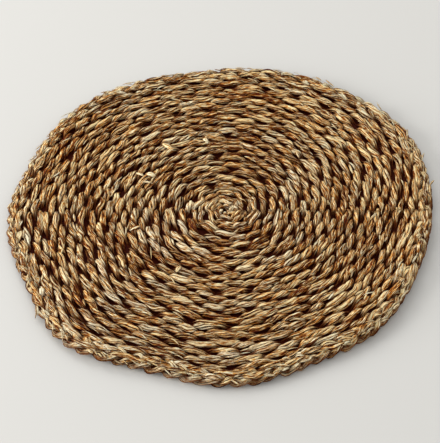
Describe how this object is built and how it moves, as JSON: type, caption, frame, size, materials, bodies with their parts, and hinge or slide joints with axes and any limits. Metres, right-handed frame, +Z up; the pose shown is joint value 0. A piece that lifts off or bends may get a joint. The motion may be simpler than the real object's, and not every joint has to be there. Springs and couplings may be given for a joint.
{
  "type": "round seagrass placemat",
  "caption": "Round flat placemat of woven seagrass with raised concentric rows of weave and a plaited, slightly scalloped border.",
  "frame": {"origin": "middle of the mat's box, at its underside, where it lies on the table", "axes": "+Z up from the table, through the thickness; -Y towards the near edge in the picture, +X to its right"},
  "size_m": [0.3798, 0.382, 0.015],
  "materials": {
    "seagrass": "dry woven seagrass in mixed straw, honey, tan and brown, matt with a faint sheen on the blades"
  },
  "bodies": {
    "root": {"mat": "seagrass"}
  },
  "joints": []
}
